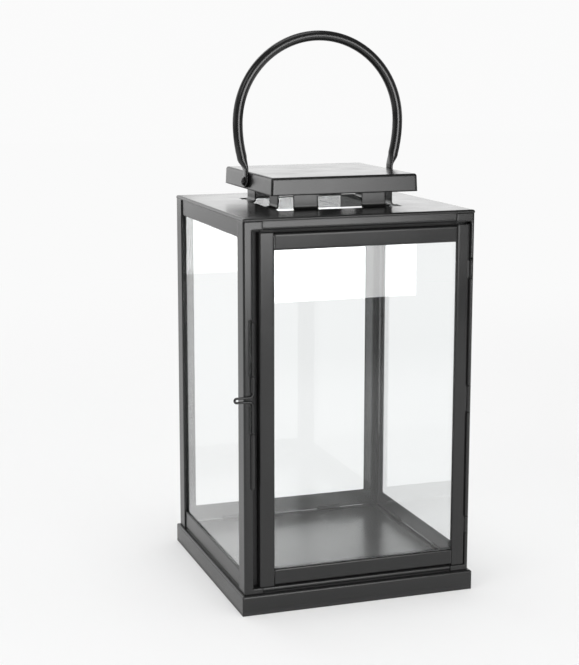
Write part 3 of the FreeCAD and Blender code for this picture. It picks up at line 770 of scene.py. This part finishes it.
# ---------------------------------------------------------------- studio
@dataclass(frozen=True)
class SoftBox:
    """One square lamp with a diffuser, aimed at the lantern; places and size are in metres."""

    name: str
    place: tuple[float, float, float]
    size: float
    watts: float
    aim: tuple[float, float, float] = (0.0, 0.0, 0.2)
    spread: float = 180.0           # degrees; less than 180 for a lamp behind a grid

    def build(self) -> None:
        """Hang the lamp and turn it to its aim, out of the camera's sight."""
        data = bpy.data.lights.new(self.name, "AREA")
        data.size = self.size
        data.energy = self.watts
        data.spread = math.radians(self.spread)
        lamp = bpy.data.objects.new(self.name, data)
        lamp.location = self.place
        way = Vector(self.aim) - Vector(self.place)
        lamp.rotation_euler = way.to_track_quat("-Z", "Y").to_euler()
        lamp.visible_camera = False
        bpy.context.collection.objects.link(lamp)


@dataclass(frozen=True)
class Camera:
    """Camera in front of the lantern at its left, a little above the cap."""

    place: tuple[float, float, float] = (-0.467395, -1.257428, 0.473953)    # in metres
    turn: float = 0.3140904         # radians to the right of straight ahead
    tilt: float = -0.1701740        # radians above level
    roll: float = -0.0033825
    lens_mm: float = 82.274779
    sensor_mm: float = 36.0
    shift: tuple[float, float] = (0.0511218, -0.0445940)    # right and up, in sensor widths
    nearest: float = 0.05           # what it shows lies between these distances in metres
    farthest: float = 50.0

    def build(self) -> None:
        """Set up the camera and look through it."""
        level = math.cos(self.tilt)
        ahead = Vector((math.sin(self.turn) * level, math.cos(self.turn) * level, math.sin(self.tilt)))
        side = ahead.cross(Vector((0, 0, 1))).normalized()
        rise = side.cross(ahead)
        right = side * math.cos(self.roll) + rise * math.sin(self.roll)
        up = rise * math.cos(self.roll) - side * math.sin(self.roll)
        data = bpy.data.cameras.new("camera")
        data.sensor_width = self.sensor_mm
        data.lens = self.lens_mm
        data.shift_x, data.shift_y = self.shift
        data.clip_start, data.clip_end = self.nearest, self.farthest
        camera = bpy.data.objects.new("camera", data)
        axes = Matrix((right, up, -ahead)).transposed()
        camera.matrix_world = Matrix.Translation(self.place) @ axes.to_4x4()
        bpy.context.collection.objects.link(camera)
        bpy.context.scene.camera = camera


@dataclass(frozen=True)
class Studio:
    """Paper, lamps, surroundings and camera."""

    paper: StudioPaper = StudioPaper()
    paper_half: float = 6.0
    paper_gap: float = 0.0002       # keeps the paper clear of the hem that stands on it
    fill: float = 0.72              # brightness of the even light that fills shadows
    backdrop: float = 0.96
    dark: float = 0.09              # brightness of the room above and in front of the lantern
    dark_way: tuple[float, float, float] = (0.0, -0.5, 0.8)
    dark_from: float = 0.3          # share of the way up dark_way at which all is dark
    camera: Camera = Camera()
    lamps: tuple[SoftBox, ...] = (
        # Low in front, on the door and the sill.
        SoftBox("lamp_front", (0.25, -1.55, 0.35), size=0.9, watts=6.9, aim=(0.25, 0.0, 0.35), spread=110.0),
        # Two low behind, which the glass and the faces that look backwards mirror.
        SoftBox("lamp_behind", (1.05, 2.2, 0.72), size=1.1, watts=2.8, aim=(0.2, 0.0, 0.35)),
        SoftBox("lamp_rim", (-0.8, 2.2, 0.55), size=0.9, watts=1.7, aim=(-0.1, 0.0, 0.3)),
        # High behind, on the top of the roof and the cap.
        SoftBox("lamp_back", (-0.5, 1.9, 2.0), size=1.2, watts=8.0),
        # High at the left, on the posts and rails of that side.
        SoftBox("lamp_left", (-1.6, -0.9, 1.5), size=0.9, watts=5.5, aim=(-0.3, -0.1, 0.0)),
        # Overhead, for the soft shadow under the lantern.
        SoftBox("lamp_top", (0.0, 0.0, 2.3), size=1.2, watts=8.0),
    )

    def build(self) -> None:
        """Make the whole studio."""
        self.build_floor()
        self.build_world()
        for lamp in self.lamps:
            lamp.build()
            LOG.info("hung %s", lamp.name)
        self.camera.build()
        bpy.context.scene.view_settings.view_transform = "Standard"

    def build_floor(self) -> None:
        """Lay the paper under the lantern."""
        h = self.paper_half
        mesh = bpy.data.meshes.new("paper")
        mesh.from_pydata([(-h, -h, 0), (h, -h, 0), (h, h, 0), (-h, h, 0)], [], [(0, 1, 2, 3)])
        mesh.materials.append(self.paper.material())
        floor = bpy.data.objects.new("paper", mesh)
        floor.location.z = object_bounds()[0].z - self.paper_gap
        bpy.context.collection.objects.link(floor)
        floor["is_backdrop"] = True

    def build_world(self) -> None:
        """Surround the lantern with a white backdrop.

        What is seen directly or through glass is the backdrop. A reflection
        shows it fade into a dark room upwards and towards the front. Light that
        only fills shadows is even.
        """
        world = bpy.data.worlds.new("studio")
        bpy.context.scene.world = world
        world.use_nodes = True
        tree = world.node_tree
        tree.nodes.clear()
        way = add_node(tree, "ShaderNodeTexCoord")
        tilt = add_node(tree, "ShaderNodeVectorMath", {0: way.outputs["Generated"]},
                        {1: self.dark_way}, operation="DOT_PRODUCT")
        faded = add_node(tree, "ShaderNodeMapRange", {"Value": tilt.outputs["Value"]},
                         {"From Min": 0.0, "From Max": self.dark_from,
                          "To Min": self.backdrop, "To Max": self.dark},
                         interpolation_type="SMOOTHSTEP")
        path = add_node(tree, "ShaderNodeLightPath")
        direct = add_node(tree, "ShaderNodeMath", {0: path.outputs["Is Camera Ray"],
                                                   1: path.outputs["Is Transmission Ray"]},
                          operation="MAXIMUM")
        shown = add_node(tree, "ShaderNodeMapRange", {"Value": direct.outputs["Value"]},
                         {"To Min": self.fill, "To Max": self.backdrop})
        mirrored = add_node(tree, "ShaderNodeMapRange", {
            "Value": mirrored_only(tree),
            "To Min": shown.outputs["Result"], "To Max": faded.outputs["Result"],
        })
        light = add_node(tree, "ShaderNodeBackground", {"Strength": mirrored.outputs["Result"]},
                         {"Color": (1.0, 1.0, 1.0, 1.0)})
        output = add_node(tree, "ShaderNodeOutputWorld", {"Surface": light.outputs["Background"]})
        output.is_active_output = True


def main() -> None:
    """Build the lantern and set it in its studio."""
    logging.basicConfig(level=logging.INFO, format="%(name)s: %(message)s")
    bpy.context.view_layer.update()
    Lantern().build()
    Studio().build()


if __name__ == "__main__":
    main()
